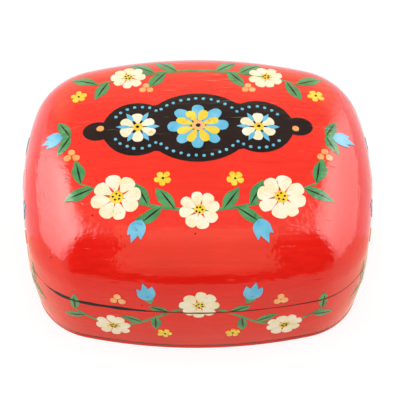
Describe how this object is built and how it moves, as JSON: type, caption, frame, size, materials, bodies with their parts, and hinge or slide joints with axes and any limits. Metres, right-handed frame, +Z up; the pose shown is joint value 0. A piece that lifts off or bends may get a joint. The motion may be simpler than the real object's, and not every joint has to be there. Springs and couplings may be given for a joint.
{
  "type": "keepsake box with lift-off lid",
  "caption": "Pillow-shaped lacquered keepsake box with bowed sides, a domed lift-off lid on an inner collar, and a felt-lined tub.",
  "frame": {"origin": "middle of the underside, on the surface that the box stands on", "axes": "+X along the box's length, -Y towards its front, +Z up"},
  "size_m": [0.15, 0.126, 0.0696],
  "materials": {
    "red_lacquer": "gloss",
    "black_lacquer": "gloss",
    "felt": "matte"
  },
  "bodies": {
    "base": {"base_shell": "red_lacquer", "bottom_board": "red_lacquer", "collar": "black_lacquer", "wall_lining": "felt", "floor_pad": "felt"},
    "lid": {"lid_shell": "red_lacquer", "lid_lining": "felt"}
  },
  "joints": [
    {"name": "lid_lift", "type": "slide", "parent": "base", "child": "lid", "axis": [0, 0, 1], "range_m": [0, 0.08]}
  ]
}
